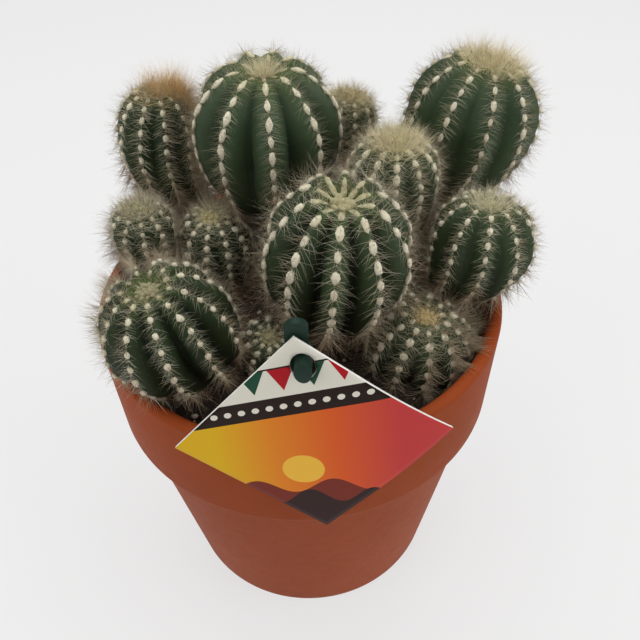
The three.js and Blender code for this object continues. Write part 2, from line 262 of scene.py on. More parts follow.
def makePot():
    step = pot["height"] - pot["collarHeight"] + pot["collarLap"]
    bm = spinProfile([
        (0, 0, 0),
        (pot["base"], 0, pot["baseRound"]),
        (pot["bodyTop"], step, pot["bodyRound"]),
        (pot["collarFoot"], step, pot["collarRound"]),
        (pot["rim"], pot["height"], pot["rimRound"]),
        (pot["mouth"], pot["height"], pot["mouthRound"]),
        (pot["floorInner"], pot["floorThickness"], pot["floorRound"]),
        (0, pot["floorThickness"], 0),
    ], pot["sides"])
    piece = finishPiece(bm, "clayPot", [makeClay()])
    drills = []
    for hole in range(pot["drainCount"]):
        turn = (hole + 0.5) * fullTurn / pot["drainCount"]
        way = Vector((math.cos(turn), math.sin(turn), 0))
        drills.append(makeRod("drill", pot["drainRadius"], 4 * pot["floorThickness"], pot["drainSides"],
                              Matrix.Translation(way * pot["drainCircle"] * mm), []))
    carve(piece, drills)
    givePiece(piece, ["pot"])


makePot()
print("pot made")

# The soil, with its grit
soil = dict(
    level=107.5, crown=1.5, lump=1, fineLump=0.9, skin=1, gap=0.3, rings=60, sides=140,
    grains=900, grainLeast=0.45, grainMost=1.15, grainRarity=2.5, grainEdge=2,
    grainRise=0.15, grainStretch=((0.7, 1.3), (0.7, 1.3), (0.5, 0.9)), grainRough=0.25,
    earth=((0.3, (22, 16, 12)), (0.5, (44, 33, 25)), (0.72, (78, 60, 45))),
    grit=((0, (35, 25, 19)), (0.45, (70, 50, 36)), (0.7, (112, 86, 62)), (0.86, (150, 128, 104)),
          (1, (205, 196, 180))),
)


def soilHeight(x, y):
    # the surface in millimetres at a place in millimetres: a low crown, two crossed waves and fine lumps
    reach = math.hypot(x, y) / pot["mouth"]
    waves = math.sin(0.31 * x + 1.3) * math.cos(0.27 * y - 0.4) + 0.6 * math.sin(0.9 * x - 0.7 * y)
    rough = noise.fractal(Vector((x, y, 0)) * 0.35, 0.9, 2.1, 5)
    crown = soil["crown"] * (1 - reach ** 2)
    return soil["level"] + crown + 0.5 * soil["lump"] * waves + soil["fineLump"] * rough


def makeEarth():
    material, tree = newMaterial("pottingSoil")
    clods = addNoise(tree, 240, 8, 0.7)
    return finishMaterial(material, {
        "Base Color": addRamp(tree, clods, *soil["earth"]),
        "Normal": addBump(tree, clods, 0.9, 0.8 * mm),
        "Roughness": 0.95,
    })


def makeGritStone():
    material, tree = newMaterial("soilGrit")
    return finishMaterial(material, {
        "Base Color": addRamp(tree, readValue(tree, "tint"), *soil["grit"]),
        "Normal": addBump(tree, addNoise(tree, 900), 0.5, 0.2 * mm),
        "Roughness": 0.9,
    })


def makeSoil():
    foot = pot["floorThickness"] + soil["gap"]
    wall = innerRadius(soil["level"]) - soil["gap"]
    bm = spinProfile([(0, foot, 0), (innerRadius(foot) - soil["gap"], foot, 0), (wall, soil["level"], 0)],
                     soil["sides"])
    edge = [part for part in bm.edges if part.is_boundary]
    for left in range(soil["rings"], 0, -1):
        grown = bmesh.ops.extrude_edge_only(bm, edges=edge)["geom"]
        corners = [part for part in grown if isinstance(part, bmesh.types.BMVert)]
        edge = [part for part in grown if isinstance(part, bmesh.types.BMEdge) and part.is_boundary]
        size = (left - 1) / left
        bmesh.ops.scale(bm, vec=(size, size, 1), verts=corners)
    bmesh.ops.remove_doubles(bm, verts=bm.verts, dist=weld)
    for corner in bm.verts:
        if corner.co.z > (soil["level"] - soil["skin"]) * mm:
            corner.co.z = soilHeight(corner.co.x / mm, corner.co.y / mm) * mm
    piece = finishPiece(bm, "pottingSoil", [makeEarth()])
    givePiece(piece, ["soil"])


def buildPebble(bm):
    bmesh.ops.create_icosphere(bm, subdivisions=1, radius=1)


def makeGrit():
    chance = random.Random(5)
    pebble = templateMesh("pebble", buildPebble)
    grains = []
    for _ in range(soil["grains"]):
        reach = math.sqrt(chance.random()) * (innerRadius(soil["level"]) - soil["grainEdge"])
        turn = chance.random() * fullTurn
        x, y = reach * math.cos(turn), reach * math.sin(turn)
        large = chance.random() ** soil["grainRarity"]
        size = soil["grainLeast"] + (soil["grainMost"] - soil["grainLeast"]) * large
        stretch = Vector([chance.uniform(*span) for span in soil["grainStretch"]])
        place = Vector((x, y, soilHeight(x, y) + soil["grainRise"] * size))
        spin = Matrix.Rotation(chance.uniform(0, fullTurn), 3, "Z")
        grains.append((place, size, stretch, spin, chance.random()))
    bm = bmesh.new()
    tint = bm.verts.layers.float.new("tint")
    for corner, (place, size, stretch, spin, kind) in layCopies(bm, pebble, grains):
        jitter = 1 + soil["grainRough"] * (chance.random() - 0.5)
        corner.co = (place + spin @ (corner.co * stretch) * size * jitter) * mm
        corner[tint] = kind
    piece = finishPiece(bm, "soilGrit", [makeGritStone()], smooth=False, recalculate=False)
    givePiece(piece, [])


makeSoil()
makeGrit()
print("soil made")

# The looks that most heads share. A head's own values in the next dictionary come before these.
headLooks = dict(
    shoulder=0,  # rise of the ribs round the crown
    start=(0.12, 0.32),  # steps from the crown's star to the first areole, on odd and on even ribs
    gold=0,  # tinge of the crown's wool, from 1 for golden to -1 for dull green
    slant=0.5,  # how unevenly the spines across the flanks lie
    radial=21,  # an areole's spines across the flanks
    central=12,  # its spines that stand out
    dead=12,  # its dead spines, low on the head
    flank=(0, 0, 0),  # the side that has more spines, the longer the more
    shift=(0, 0),  # where the middle of the tuft lies off the crown
)

# The heads, as in the part: foot, middle of the widest ring, crown, widest radius, height of the belly,
# radius of the stem, ribs and the bearing of one rib. Then their own looks: depth of the furrows, grey
# bloom of the skin, step of the areoles, half width and half length of their pads, radius of the crown's
# star of wool, length of the spines, radius of those across the flanks, and the tuft's hairs, reach
# across and deep, length and tint.
heads = {
    "head_back_left": dict(
        foot=(-32, 35), middle=(-45.5, 46.8, 150.6), crown=(-43.4, 47.7, 168.1),
        radius=13.6, belly=23, stem=5.5, ribs=10, bearing=-72,
        depth=0.22, bloom=0.3, step=4, pad=(0.85, 1.15), wool=3, gold=0.5,
        spine=5.4, slant=0.3, comb=0.052, flank=(1.05, -0.2, 0.6), dead=46,
        tuft=2400, tuftReach=(12.5, 7.5), tuftLength=13, tuftTint=0.88, shift=(9.5, 3),
    ),
    "head_back_big": dict(
        foot=(-7, 30), middle=(-7.9, 34.6, 159.2), crown=(-7.7, 32.6, 179.9),
        radius=23.6, belly=27, stem=8, ribs=9, bearing=-86,
        shoulder=1.2, depth=0.29, bloom=1, step=5.3, pad=(1, 2.3), wool=3,
        spine=5.4, slant=0.22, comb=0.034, flank=(-0.8, 0, -0.4), dead=46,
        tuft=850, tuftReach=(3, 3.4), tuftLength=9.5, tuftTint=0.66,
    ),
    "head_back_small": dict(
        foot=(16, 46), middle=(19.6, 54.5, 148.6), crown=(20.9, 55.4, 159.4),
        radius=9.9, belly=32, stem=5, ribs=10, bearing=-80,
        depth=0.16, bloom=0.9, step=3.6, pad=(0.85, 1.05), wool=2.4, gold=0.2,
        spine=5.8, comb=0.062, central=20, radial=26,
        tuft=1300, tuftReach=(10, 10), tuftLength=6.5, tuftTint=0.72,
    ),
    "head_back_right": dict(
        foot=(37, 25), middle=(60, 40.5, 155.4), crown=(64, 40.3, 176.3),
        radius=21.8, belly=27, stem=6, ribs=10, bearing=-93,
        depth=0.18, bloom=0.6, step=5, pad=(0.82, 1.5), wool=3.2,
        spine=5.2, slant=0.3, comb=0.04, central=22,
        tuft=1500, tuftReach=(10.5, 10.5), tuftLength=10, tuftTint=0.74, shift=(1.5, 0),
    ),
    "head_mid_right": dict(
        foot=(27, 13), middle=(30.8, 13.8, 151.6), crown=(31.1, 13.4, 165.3),
        radius=14.1, belly=23, stem=6, ribs=11, bearing=-95,
        depth=0.24, bloom=0.9, step=3.8, pad=(0.95, 1.5), wool=2.6, gold=0.2,
        spine=5.4, comb=0.06, central=20, radial=26,
        tuft=1500, tuftReach=(9, 9), tuftLength=8, tuftTint=0.7,
    ),
    "head_centre_big": dict(
        foot=(7, -4), middle=(11.2, -18.4, 148), crown=(12.4, -21.2, 167.9),
        radius=21, belly=31, stem=8, ribs=10, bearing=-98,
        shoulder=2.6, depth=0.38, bloom=0.6, step=5.3, pad=(1.12, 1.95), wool=5.6,
        start=(-0.04, 0.15), spine=7.6, comb=0.045, radial=15, dead=7,
        tuft=700, tuftReach=(5.8, 5.8), tuftLength=1.8, tuftTint=0.52,
    ),
    "head_right": dict(
        foot=(44, -3), middle=(56, -6.1, 139.5), crown=(57.2, -4.6, 154.4),
        radius=15.6, belly=18, stem=6.5, ribs=10, bearing=-102,
        depth=0.24, bloom=0.35, step=4.3, pad=(0.75, 1.1), wool=2.8,
        spine=4.3, comb=0.047, central=18, radial=18,
        tuft=620, tuftReach=(6, 6), tuftLength=5.5, tuftTint=0.6,
    ),
    "head_front_right": dict(
        foot=(34, -22), middle=(35.8, -22.6, 113.4), crown=(37, -24.5, 128.7),
        radius=15.7, belly=16, stem=7.8, ribs=11, bearing=-91,
        depth=0.26, bloom=0.7, step=4.7, pad=(1.15, 1.3), wool=3.2, gold=0.45,
        start=(0.2, 0.6), spine=6.4, comb=0.05, flank=(1.1, -1, 0.35), radial=17,
        tuft=520, tuftReach=(4.4, 4.4), tuftLength=2.6, tuftTint=0.8,
    ),
    "head_left_small": dict(
        foot=(-43, 13), middle=(-49.4, 13.8, 136.6), crown=(-49.1, 12.9, 146),
        radius=10.1, belly=13, stem=5, ribs=10, bearing=-80,
        depth=0.22, bloom=0.4, step=3.4, pad=(0.8, 0.9), wool=2.5, gold=-0.3,
        spine=5.4, comb=0.052, flank=(-0.6, -0.45, -0.6), dead=26, central=18,
        tuft=700, tuftReach=(6.5, 6.5), tuftLength=7, tuftTint=0.54,
    ),
    "head_left_mid": dict(
        foot=(-27, 18), middle=(-27.9, 18.8, 125.6), crown=(-27.4, 18.7, 137.7),
        radius=12.6, belly=17, stem=6, ribs=11, bearing=-98,
        depth=0.24, bloom=0.3, step=4, pad=(1.05, 1.2), wool=4.1, gold=0.15,
        spine=5.6, comb=0.056, flank=(0.1, 1.2, 0.2), dead=14,
        tuft=420, tuftReach=(5, 5), tuftLength=9, tuftTint=0.63, shift=(0, 2.5),
    ),
    "head_front_left_big": dict(
        foot=(-26, -22), middle=(-37.2, -31.8, 133.9), crown=(-40.6, -33.4, 152.5),
        radius=19, belly=18, stem=6.5, ribs=11, bearing=-80,
        shoulder=0.8, depth=0.34, bloom=0.15, step=4.5, pad=(0.85, 1.05), wool=3.1,
        gold=-0.5, start=(0.45, 0.7), spine=4.7, comb=0.037, flank=(-0.95, 1.1, 0.2),
        dead=6, central=16, radial=16,
        tuft=420, tuftReach=(3.8, 3.8), tuftLength=1.5, tuftTint=0.52,
    ),
    "head_front_small": dict(
        foot=(-9, -21), middle=(-10.4, -22.2, 115.1), crown=(-9.9, -25, 123.8),
        radius=9.6, belly=13, stem=5, ribs=10, bearing=-90,
        depth=0.22, bloom=0.7, step=3.3, pad=(1, 1.1), wool=2.9,
        spine=3.2, comb=0.052, dead=3, central=8, radial=12,
        tuft=320, tuftReach=(3.6, 3.6), tuftLength=2, tuftTint=0.55,
    ),
}

# How every head is formed
form = dict(
    footLevel=97, bendPoints=120, bendOut=0.3, bendIn=0.35,
    roundness=0.9, bellyRound=2.2, crestSharpness=0.55, furrowEnd=1.15, deepest=0.38,
    pinch=0.14, pinchReach=5.5, shoulderAt=0.45, shoulderSpan=0.25,
    columnsPerRib=10, ringStep=1.1,
    firstSize=0.62, growSteps=4.5, lowShrink=0.35, firstStep=0.4, lowCrowding=0.25,
    areoleRise=0.45, areoleSpan=1.6, crestNarrowness=5, riseRadius=6, seatSpan=0.6,
    nearestSeat=0.05, lastAreole=1.7, lastWool=1.05,
    green=((0.3, (30, 44, 22)), (0.7, (48, 62, 30))), grey=((0.3, (58, 76, 52)), (0.7, (76, 92, 64))),
    # furrow is painted shade for the furrows, strongest on the heads with the deepest furrows
    furrow=(9, 16, 8), young=(78, 92, 36), old=(26, 24, 14), fleck=(96, 108, 84),
)


# One head's form: a straight upper axis, then a bend down to an upright stem in the soil
class Head:
    def __init__(self, name, plan):
        # every value of the head's dictionary becomes the head's own
        vars(self).update(headLooks, **plan, name=name)
        self.middle = Vector(self.middle)
        self.crown = Vector(self.crown)
        self.foot = Vector((*self.foot, form["footLevel"]))
        self.up = (self.crown - self.middle).normalized()
        self.crownHeight = (self.crown - self.middle).length
        drop = self.middle.z - form["footLevel"]
        self.bend = geometry.interpolate_bezier(
            self.middle, self.middle - form["bendOut"] * drop * self.up,
            self.foot + Vector((0, 0, form["bendIn"] * drop)), self.foot, form["bendPoints"])
        self.lengths = [0]
        for low, high in zip(self.bend, self.bend[1:]):
            self.lengths.append(self.lengths[-1] + (high - low).length)
        self.upperSpan = 0.5 * math.pi * math.sqrt((self.crownHeight ** 2 + self.radius ** 2) / 2)
        self.lowerSpan = self.lengths[-1]
        self.span = self.upperSpan + self.lowerSpan

    def bendAt(self, depth):
        # the place on the bend, and the way it runs, at a depth below the widest ring
        index = 1
        while index < len(self.lengths) - 1 and self.lengths[index] < depth:
            index += 1
        low, high = self.bend[index - 1], self.bend[index]
        part = (depth - self.lengths[index - 1]) / (self.lengths[index] - self.lengths[index - 1])
        return low.lerp(high, part), (high - low).normalized()

    def below(self, reach):
        # how far down the belly a reach from the crown lies: 0 at the widest ring, 1 at the stem
        return max(0, (reach - self.upperSpan) / self.belly)

    def phase(self, turn):
        # how many ribs a turn lies from the first one
        return (turn / degree - self.bearing) * self.ribs / 360

    def ribTurns(self):
        ribs = self.ribs
        return [self.bearing * degree + rib * fullTurn / ribs for rib in range(ribs)]

    def ring(self, reach):
        # the ring at a distance down the surface from the crown: its middle, axis and radius
        if reach <= self.upperSpan:
            turn = 0.5 * math.pi * max(reach, 0) / self.upperSpan
            height = self.crownHeight * math.cos(turn) ** form["roundness"]
            radius = self.radius * math.sin(turn) ** form["roundness"]
            dimple = math.exp(-(radius / form["pinchReach"]) ** 2)
            height -= form["pinch"] * self.crownHeight * dimple
            swell = (radius / self.radius - form["shoulderAt"]) / form["shoulderSpan"]
            height += self.shoulder * math.exp(-swell ** 2)
            return self.middle + self.up * height, self.up, radius
        depth = min(reach - self.upperSpan, self.lowerSpan)
        swell = (1 - min(depth / self.belly, 1) ** form["bellyRound"]) ** 0.5
        radius = self.stem + (self.radius - self.stem) * swell
        place, downward = self.bendAt(depth)
        along = depth / self.lowerSpan
        axis = (-downward).lerp(self.up, 1 - along ** 2).normalized()
        return place, axis, radius

    def surface(self, reach, turn, rise=0):
        # a point of the skin, and how near it is to a crest, from 0 to 1
        place, axis, radius = self.ring(reach)
        first = Vector((1, 0, 0))
        first = (first - axis * first.dot(axis)).normalized()
        second = axis.cross(first)
        phase = self.phase(turn)
        away = abs(phase - round(phase)) * 2
        sharpness = form["crestSharpness"]
        crest = sharpness * (1 - away) + (1 - sharpness) * math.cos(away * math.pi / 2)
        furrow = self.depth * min(max(form["furrowEnd"] - self.below(reach), 0), 1)
        out = radius * (1 - furrow * (1 - crest)) + rise
        return place + first * math.cos(turn) * out + second * math.sin(turn) * out, 1 - away

    def seat(self, reach, turn):
        # a seat on a crest: its place, the way out, the way down the rib and the way across it
        place = self.surface(reach, turn)[0]
        lower = self.surface(reach + form["seatSpan"], turn)[0]
        upper = self.surface(max(reach - form["seatSpan"], form["nearestSeat"]), turn)[0]
        down = (lower - upper).normalized()
        middle, axis, _ = self.ring(reach)
        outward = place - middle
        outward = outward - axis * outward.dot(axis)
        across = axis.cross(outward).normalized()
        return place, down.cross(across).normalized(), down, across

    def areoles(self):
        # (reach, turn, size) of every areole past the crown's star, rib by rib
        found = []
        last = self.upperSpan + form["lastAreole"] * self.belly
        for rib, turn in enumerate(self.ribTurns()):
            reach = self.wool + self.start[0 if rib % 2 else 1] * self.step
            while reach < last:
                grown = min(form["firstSize"] + reach / (form["growSteps"] * self.step), 1)
                below = min(self.below(reach), 1)
                found.append((reach, turn, grown * (1 - form["lowShrink"] * below)))
                spread = form["firstStep"] + (1 - form["firstStep"]) * grown
                reach += self.step * spread * (1 - form["lowCrowding"] * below)
        return found

    def pieceName(self, suffix):
        words = self.name.split("_")
        return words[0] + "".join(word.capitalize() for word in words[1:]) + suffix


def makeFlesh():
    # green or grey skin, with painted shade in the furrows, yellower at the crown and darker and browner
    # towards the foot
    material, tree = newMaterial("cactusFlesh")
    share = readValue(tree, "share")
    broad = addNoise(tree, 45)
    fine = addNoise(tree, 700, 5, 0.65)
    flesh = addMix(tree, readValue(tree, "bloom"), addRamp(tree, broad, *form["green"]),
                   addRamp(tree, broad, *form["grey"]))
    for factor, tint in (
            # painted shade in the furrows, by the crest value
            (addRamp(tree, readValue(tree, "crest"), (0, 1), (0.12, 0.85), (0.4, 0.25), (0.75, 0)), "furrow"),
            (addRamp(tree, share, (0.01, 1), (0.07, 0.6), (0.16, 0)), "young"),
            # darker and browner towards the foot
            (addRamp(tree, share, (0.35, 0), (0.62, 0.75), (0.9, 1)), "old"),
            (addRamp(tree, fine, (0.58, 0), (0.75, 0.3)), "fleck")):
        flesh = addMix(tree, factor, flesh, form[tint])
    return finishMaterial(material, {
        "Base Color": flesh,
        "Normal": addBump(tree, fine, 0.25, 0.2 * mm),
        "Roughness": 0.5,
        "Specular IOR Level": 0.22,
    })


def makeBody(head, flesh):
    columns = head.ribs * form["columnsPerRib"]
    rings = round(head.span / form["ringStep"])
    bm = bmesh.new()
    bmesh.ops.create_uvsphere(bm, u_segments=columns, v_segments=rings, radius=1)
    crestLayer = bm.verts.layers.float.new("crest")
    shareLayer = bm.verts.layers.float.new("share")
    bloomLayer = bm.verts.layers.float.new("bloom")
    byRib = {}
    for reach, turn, _ in head.areoles():
        byRib.setdefault(round(head.phase(turn)), []).append(reach)
    for corner in bm.verts:
        ring = round(math.acos(min(max(corner.co.z, -1), 1)) / math.pi * rings)
        turn = math.atan2(corner.co.y, corner.co.x)
        reach = head.span * ring / rings
        phase = head.phase(turn)
        nearest = min(abs(reach - other) for other in byRib[round(phase) % head.ribs])
        closeness = max(0, 1 - abs(phase - round(phase)) * form["crestNarrowness"])
        swell = math.exp(-(nearest / form["areoleSpan"]) ** 2) - 0.5
        rise = form["areoleRise"] * closeness * swell * min(1, head.ring(reach)[2] / form["riseRadius"])
        if reach > head.upperSpan + head.belly or ring in (0, rings):
            rise = 0
        point, crest = head.surface(reach, turn, rise)
        if ring == 0:
            point = head.ring(0)[0]
        elif ring == rings:
            point = head.foot.copy()
        corner.co = point * mm
        # the crest value sets the painted furrow shade, fainter on heads with shallow furrows
        corner[crestLayer] = 1 - (1 - crest) * head.depth / form["deepest"]
        corner[shareLayer] = ring / rings
        corner[bloomLayer] = head.bloom
    piece = finishPiece(bm, head.pieceName("Body"), [flesh])
    givePiece(piece, [head.name])


# The wool: a pad on each areole, and at the crown a star with an arm for each rib and lumps over its
# middle. Pairs are the least and the most of a random draw; at, wide, long and size go by the star's radius.
fleece = dict(
    columns=8, rings=6, uneven=(0.79, 1.17), lift=0.1,
    grow=(0.85, 1.15), longer=(0.9, 1.08), tilt=(-0.12, 0.12), thick=0.7,
    firstWidth=0.62, widenSteps=6, youngGold=0.3,
    taperFrom=2.1, taperWide=1.08, taper=0.32,
    armAt=0.66, armLong=0.38, armLonger=(0.85, 1.15), armWide=0.24, armWider=(0.85, 1.35),
    armThick=(0.4, 0.9), armShare=0.02, middleSize=0.7, middleLift=0.3,
    lumps=11, lumpLoose=0.7, lumpAt=(0.12, 0.6), lumpWide=0.24, lumpLong=(0.2, 0.34),
    lumpThick=(0.6, 1.3), lumpLift=0.5, lumpGold=(0.5, 1.1),
    age=((0, (178, 172, 132)), (0.05, (200, 194, 152)), (0.13, (236, 230, 202)), (0.2, (242, 235, 210)),
         (0.5, (234, 222, 196)), (0.75, (150, 132, 108))),
    golden=(206, 158, 84), dull=(104, 104, 72), worn=(150, 132, 96), spot=(140, 112, 80),
)


def makeWool():
    # cream wool, yellower at the crown, with the dark feet of the spines in it
    material, tree = newMaterial("areoleWool")
    gold = readValue(tree, "gold")
    fine = addNoise(tree, 1500, 5, 0.7)
    where = addNode(tree, "ShaderNodeTexCoord").outputs["Object"]
    feet = addNode(tree, "ShaderNodeTexVoronoi", {"Vector": where, "Scale": 900}).outputs["Distance"]
    wool = addRamp(tree, readValue(tree, "share"), *fleece["age"])
    for factor, tint in (
            (gold, "golden"),
            (addMath(tree, "MULTIPLY", gold, -1, True), "dull"),
            (addRamp(tree, fine, (0.5, 0), (0.72, 0.5)), "worn"),
            (addRamp(tree, feet, (0.14, 0.5), (0.34, 0)), "spot")):
        wool = addMix(tree, factor, wool, fleece[tint])
    return finishMaterial(material, {
        "Base Color": wool,
        "Normal": addBump(tree, fine, 0.9, 0.3 * mm),
        "Roughness": 0.95,
        "Specular IOR Level": 0.1,
        "Sheen Weight": 0.3,
    })


def buildPad(bm):
    bmesh.ops.create_uvsphere(bm, u_segments=fleece["columns"], v_segments=fleece["rings"], radius=1)


def makePads(head, wool, padMesh, chance):
    draw = chance.uniform
    radius = head.wool
    pads = []
    for reach, turn, size in head.areoles():
        if head.below(reach) > form["lastWool"]:
            continue
        place, out, down, across = head.seat(reach, turn)
        grow = size * draw(*fleece["grow"])
        widened = min(fleece["firstWidth"] + reach / (fleece["widenSteps"] * head.step), 1)
        width = head.pad[0] * grow * widened
        length = head.pad[1] * grow * draw(*fleece["longer"])
        tilt = draw(*fleece["tilt"])
        young = max(0, 1 - (reach - radius) / head.step)
        pads.append((place, (across + down * tilt) * width, (down - across * tilt) * length,
                     out * fleece["thick"] * grow, reach / head.span,
                     fleece["youngGold"] * young * head.gold))
    for turn in head.ribTurns():
        long = radius * draw(*fleece["armLonger"])
        place, out, down, across = head.seat(fleece["armAt"] * long, turn)
        wide = fleece["armWide"] * radius * draw(*fleece["armWider"])
        pads.append((place, across * wide, down * fleece["armLong"] * long,
                     out * draw(*fleece["armThick"]), fleece["armShare"], head.gold))
    top, axis, _ = head.ring(0)
    side = axis.orthogonal().normalized() * fleece["middleSize"] * radius
    pads.append((top + axis * fleece["middleLift"], side, axis.cross(side), axis, 0, head.gold))
    for index in range(fleece["lumps"]):
        turn = (index + fleece["lumpLoose"] * chance.random()) * fullTurn / fleece["lumps"]
        place, out, down, across = head.seat(radius * draw(*fleece["lumpAt"]), turn)
        pads.append((place + axis * fleece["lumpLift"], across * fleece["lumpWide"] * radius,
                     down * draw(*fleece["lumpLong"]) * radius,
                     out * draw(*fleece["lumpThick"]), 0,
                     head.gold * draw(*fleece["lumpGold"])))
    bm = bmesh.new()
    shareLayer = bm.verts.layers.float.new("share")
    goldLayer = bm.verts.layers.float.new("gold")
    tapered = head.pad[1] > fleece["taperFrom"]
    for corner, (place, across, down, out, share, gold) in layCopies(bm, padMesh, pads):
        local = corner.co * draw(*fleece["uneven"])
        if tapered and share > fleece["armShare"]:
            local.x *= fleece["taperWide"] - fleece["taper"] * abs(local.y)
        corner.co = (place + across * local.x + down * local.y + out * (local.z + fleece["lift"])) * mm
        corner[shareLayer] = share
        corner[goldLayer] = gold
    # the axes of a pad on a rib mirror it, so its faces are turned outward again
    mirrored = [across.cross(down).dot(out) < 0 for _, across, down, out, _, _ in pads]
    each = len(padMesh.polygons)
    inward = [face for index, face in enumerate(bm.faces) if mirrored[index // each]]
    bmesh.ops.reverse_faces(bm, faces=inward)
    piece = finishPiece(bm, head.pieceName("Wool"), [wool], recalculate=False)
    givePiece(piece, [head.name])


# The spines. Pairs are the least and the most of a random draw: root and sway have one pair across the
# rib and one down it, length goes by the head's own length of spine, and curl is the bend down the rib.
spines = dict(
    sides=3, halfway=1.5, rootDepth=0.25, darkFoot=0.1, tries=6, shorter=0.92, lift=Vector((0, 0, 0.4)),
    boxGap=0.3, potGap=0.4, lowLonger=0.8, firstLength=0.3,
    youngSteps=1.5, youngShare=1.2, youngTint=(-0.1, 0.05),
    dead=dict(share=0.62, sway=((-1.3, 1.3), (-0.9, 0.9)), size=8.5, length=(0.6, 1.2),
              curl=(-0.1, 0.25), radius=0.095, tint=(0, 0.42, 0.16)),
    flank=dict(most=30, lean=0.4, root=(-0.5, 0.5), sway=((-0.7, 0.7), (-0.7, 0.7)), length=(0.8, 1.7),
               curl=(-0.1, 0.2), radius=0.05, tint=(0.05, 0.3)),
    fuzz=dict(count=18, root=((-0.75, 0.75), (-0.85, 0.85)), sway=((-1.1, 1.1), (-1, 1)), length=(0.8, 1.7),
              radius=0.042, tint=0.5),
    radial=dict(count=(-3, 3), slant=0.12, out=(0.05, 0.6), root=(-0.5, 0.5), rise=0.1, length=(0.55, 1.1),
                curlOut=(-0.25, 0), curl=(-0.02, 0.35), tint=(0, 0.13), bloomTint=0.04, lowTint=0.2),
    central=dict(root=(-0.4, 0.4), rise=0.2, sway=((-0.8, 0.8), (-0.6, 0.7)), length=(0.6, 1.25),
                 curl=(-0.05, 0.2), radius=0.042, tint=(0.04, 0.28), lowTint=0.12),
    tuft=dict(gather=0.7, nearest=0.3, splay=1.1, splayMore=(0.7, 1.3), loose=0.25, upright=1.15,
              shortest=0.2, longer=0.9, longRarity=1.4, edgeShorter=0.2, curl=(-0.1, 0.2),
              radius=0.042, tint=(-0.12, 0.05), darkEvery=30, darkTint=0.36),
    # below 0.5 the spines of the flanks, from pale to dead, and above it the hair of the crown
    tints=((0, (226, 222, 202)), (0.13, (200, 188, 158)), (0.28, (164, 128, 100)), (0.42, (112, 82, 62)),
           (0.5, (255, 250, 226)), (0.65, (255, 246, 206)), (0.8, (255, 224, 160)), (0.95, (255, 212, 172))),
)
# Where a spine may not go: the card before the rim, and the stake
keepOut = dict(label=59, labelHalf=50, labelTop=167, stakeX=-1.4, stakeHalf=4, stakeY=-53)


def makeSpineHorn():
    material, tree = newMaterial("spines")
    return finishMaterial(material, {
        "Base Color": addRamp(tree, readValue(tree, "tint"), *spines["tints"]),
        "Roughness": 0.45,
        "Transmission Weight": 0.25,
    })


def buildStraight(bm):
    # a needle from z 0 to z 1, with a radius of 1 at its foot
    bmesh.ops.create_cone(bm, cap_ends=True, segments=spines["sides"], radius1=1, radius2=0, depth=1,
                          matrix=Matrix.Translation((0, 0, 0.5)))


def buildCurved(bm):
    # the same needle, with a ring that is wider than a cone's at half its length
    buildStraight(bm)
    cut = bmesh.ops.bisect_plane(bm, geom=bm.verts[:] + bm.edges[:] + bm.faces[:], dist=1e-6,
                                 plane_co=(0, 0, 0.5), plane_no=(0, 0, 1))["geom_cut"]
    ring = [part for part in cut if isinstance(part, bmesh.types.BMVert)]
    bmesh.ops.scale(bm, verts=ring, vec=(spines["halfway"], spines["halfway"], 1))


def spineFits(point):
    x, y, z = point
    gap = spines["boxGap"]
    if not all(low / mm + gap < value < high / mm - gap
               for low, value, high in zip(cadBox[0], point, cadBox[1])):
        return False
    reach = math.hypot(x, y)
    gap = spines["potGap"]
    if z < pot["height"] + gap and innerRadius(z) - gap < reach < pot["rim"] + gap:
        return False
    if z < soil["level"]:
        return reach > pot["rim"]
    if z < keepOut["labelTop"] and y < -keepOut["label"] and abs(x) < keepOut["labelHalf"]:
        return False
    nearStake = abs(x - keepOut["stakeX"]) < keepOut["stakeHalf"] and y < keepOut["stakeY"]
    return not (nearStake and z < keepOut["labelTop"])


def addNeedle(needles, root, direction, length, curl, radius, tint):
    # a needle that would leave the box or touch the pot or the label is lifted and shortened, or left out
    for _ in range(spines["tries"]):
        if spineFits(root + (direction + curl) * length) and spineFits(root + direction * length * 0.5):
            needles.append((root, direction, length, curl, radius, min(max(tint, 0), 1)))
            return
        direction = (direction + spines["lift"]).normalized()
        length *= spines["shorter"]


def layNeedles(bm, template, needles, tintLayer):
    depth = spines["rootDepth"]
    for corner, (root, direction, length, curl, radius, tint) in layCopies(bm, template, needles):
        side = direction.orthogonal().normalized()
        x, y, z = corner.co
        point = root + (side * x + direction.cross(side) * y) * radius
        corner.co = (point + direction * (z * (length + depth) - depth) + curl * length * z * z) * mm
        corner[tintLayer] = tint - spines["darkFoot"] * (1 - z) if tint > 0.55 else tint


